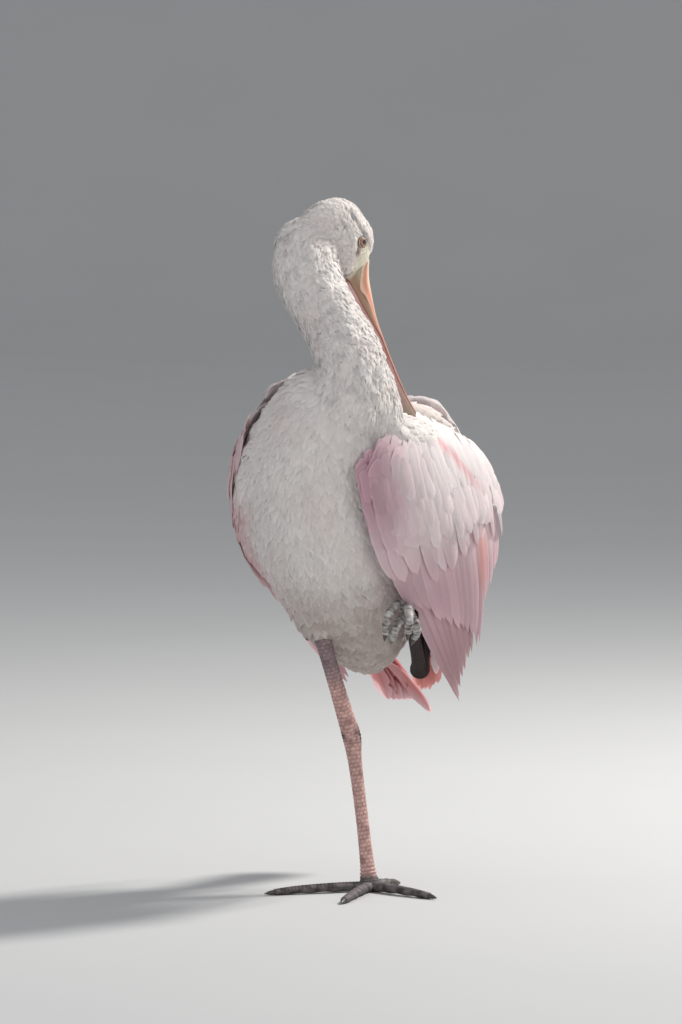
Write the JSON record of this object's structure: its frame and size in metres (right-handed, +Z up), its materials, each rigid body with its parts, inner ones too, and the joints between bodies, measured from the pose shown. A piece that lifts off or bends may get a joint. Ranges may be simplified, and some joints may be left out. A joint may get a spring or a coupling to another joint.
{
  "type": "roseate spoonbill",
  "caption": "Life-size still model of a young roseate spoonbill standing on its right leg, head turned back over the left shoulder to preen.",
  "frame": {"origin": "middle of the standing foot's flat sole, on the floor", "axes": "+Z up, the breast faces -Y, the bird's left side is towards +X"},
  "size_m": [0.2109, 0.321, 0.5374],
  "materials": {
    "body feathers": "soft white contour feathers",
    "neck down": "crinkled white down",
    "head": "white feathers with pale bare face",
    "eye": "amber iris under a clear wet surface",
    "upper bill": "coral horn, finely grooved",
    "lower bill": "mauve horn",
    "leg skin": "scaled leg skin",
    "dark skin": "dark scaled skin",
    "pale pink feathers": "pale pink covert feathers",
    "rose quills": "rose flight feathers"
  },
  "bodies": {
    "root": {"torso": "body feathers", "neck_lower": "neck down", "neck_middle": "neck down", "neck_upper": "neck down", "head": "head", "eye_right": "eye", "eye_left": "eye", "bill_upper": "upper bill", "bill_lower": "lower bill", "foot_right": "dark skin", "tarsus_right": "leg skin", "shank_right": "leg skin", "thigh_right": "body feathers", "thigh_left": "body feathers", "shank_left": "dark skin", "tarsus_left": "dark skin", "foot_left": "dark skin", "tail": "rose quills", "wing_left_coverts": "pale pink feathers", "wing_left_secondaries": "rose quills", "wing_left_primaries": "rose quills", "scapulars_left": "body feathers", "wing_right_coverts": "pale pink feathers", "wing_right_secondaries": "rose quills", "wing_right_primaries": "rose quills", "scapulars_right": "body feathers"}
  },
  "joints": []
}
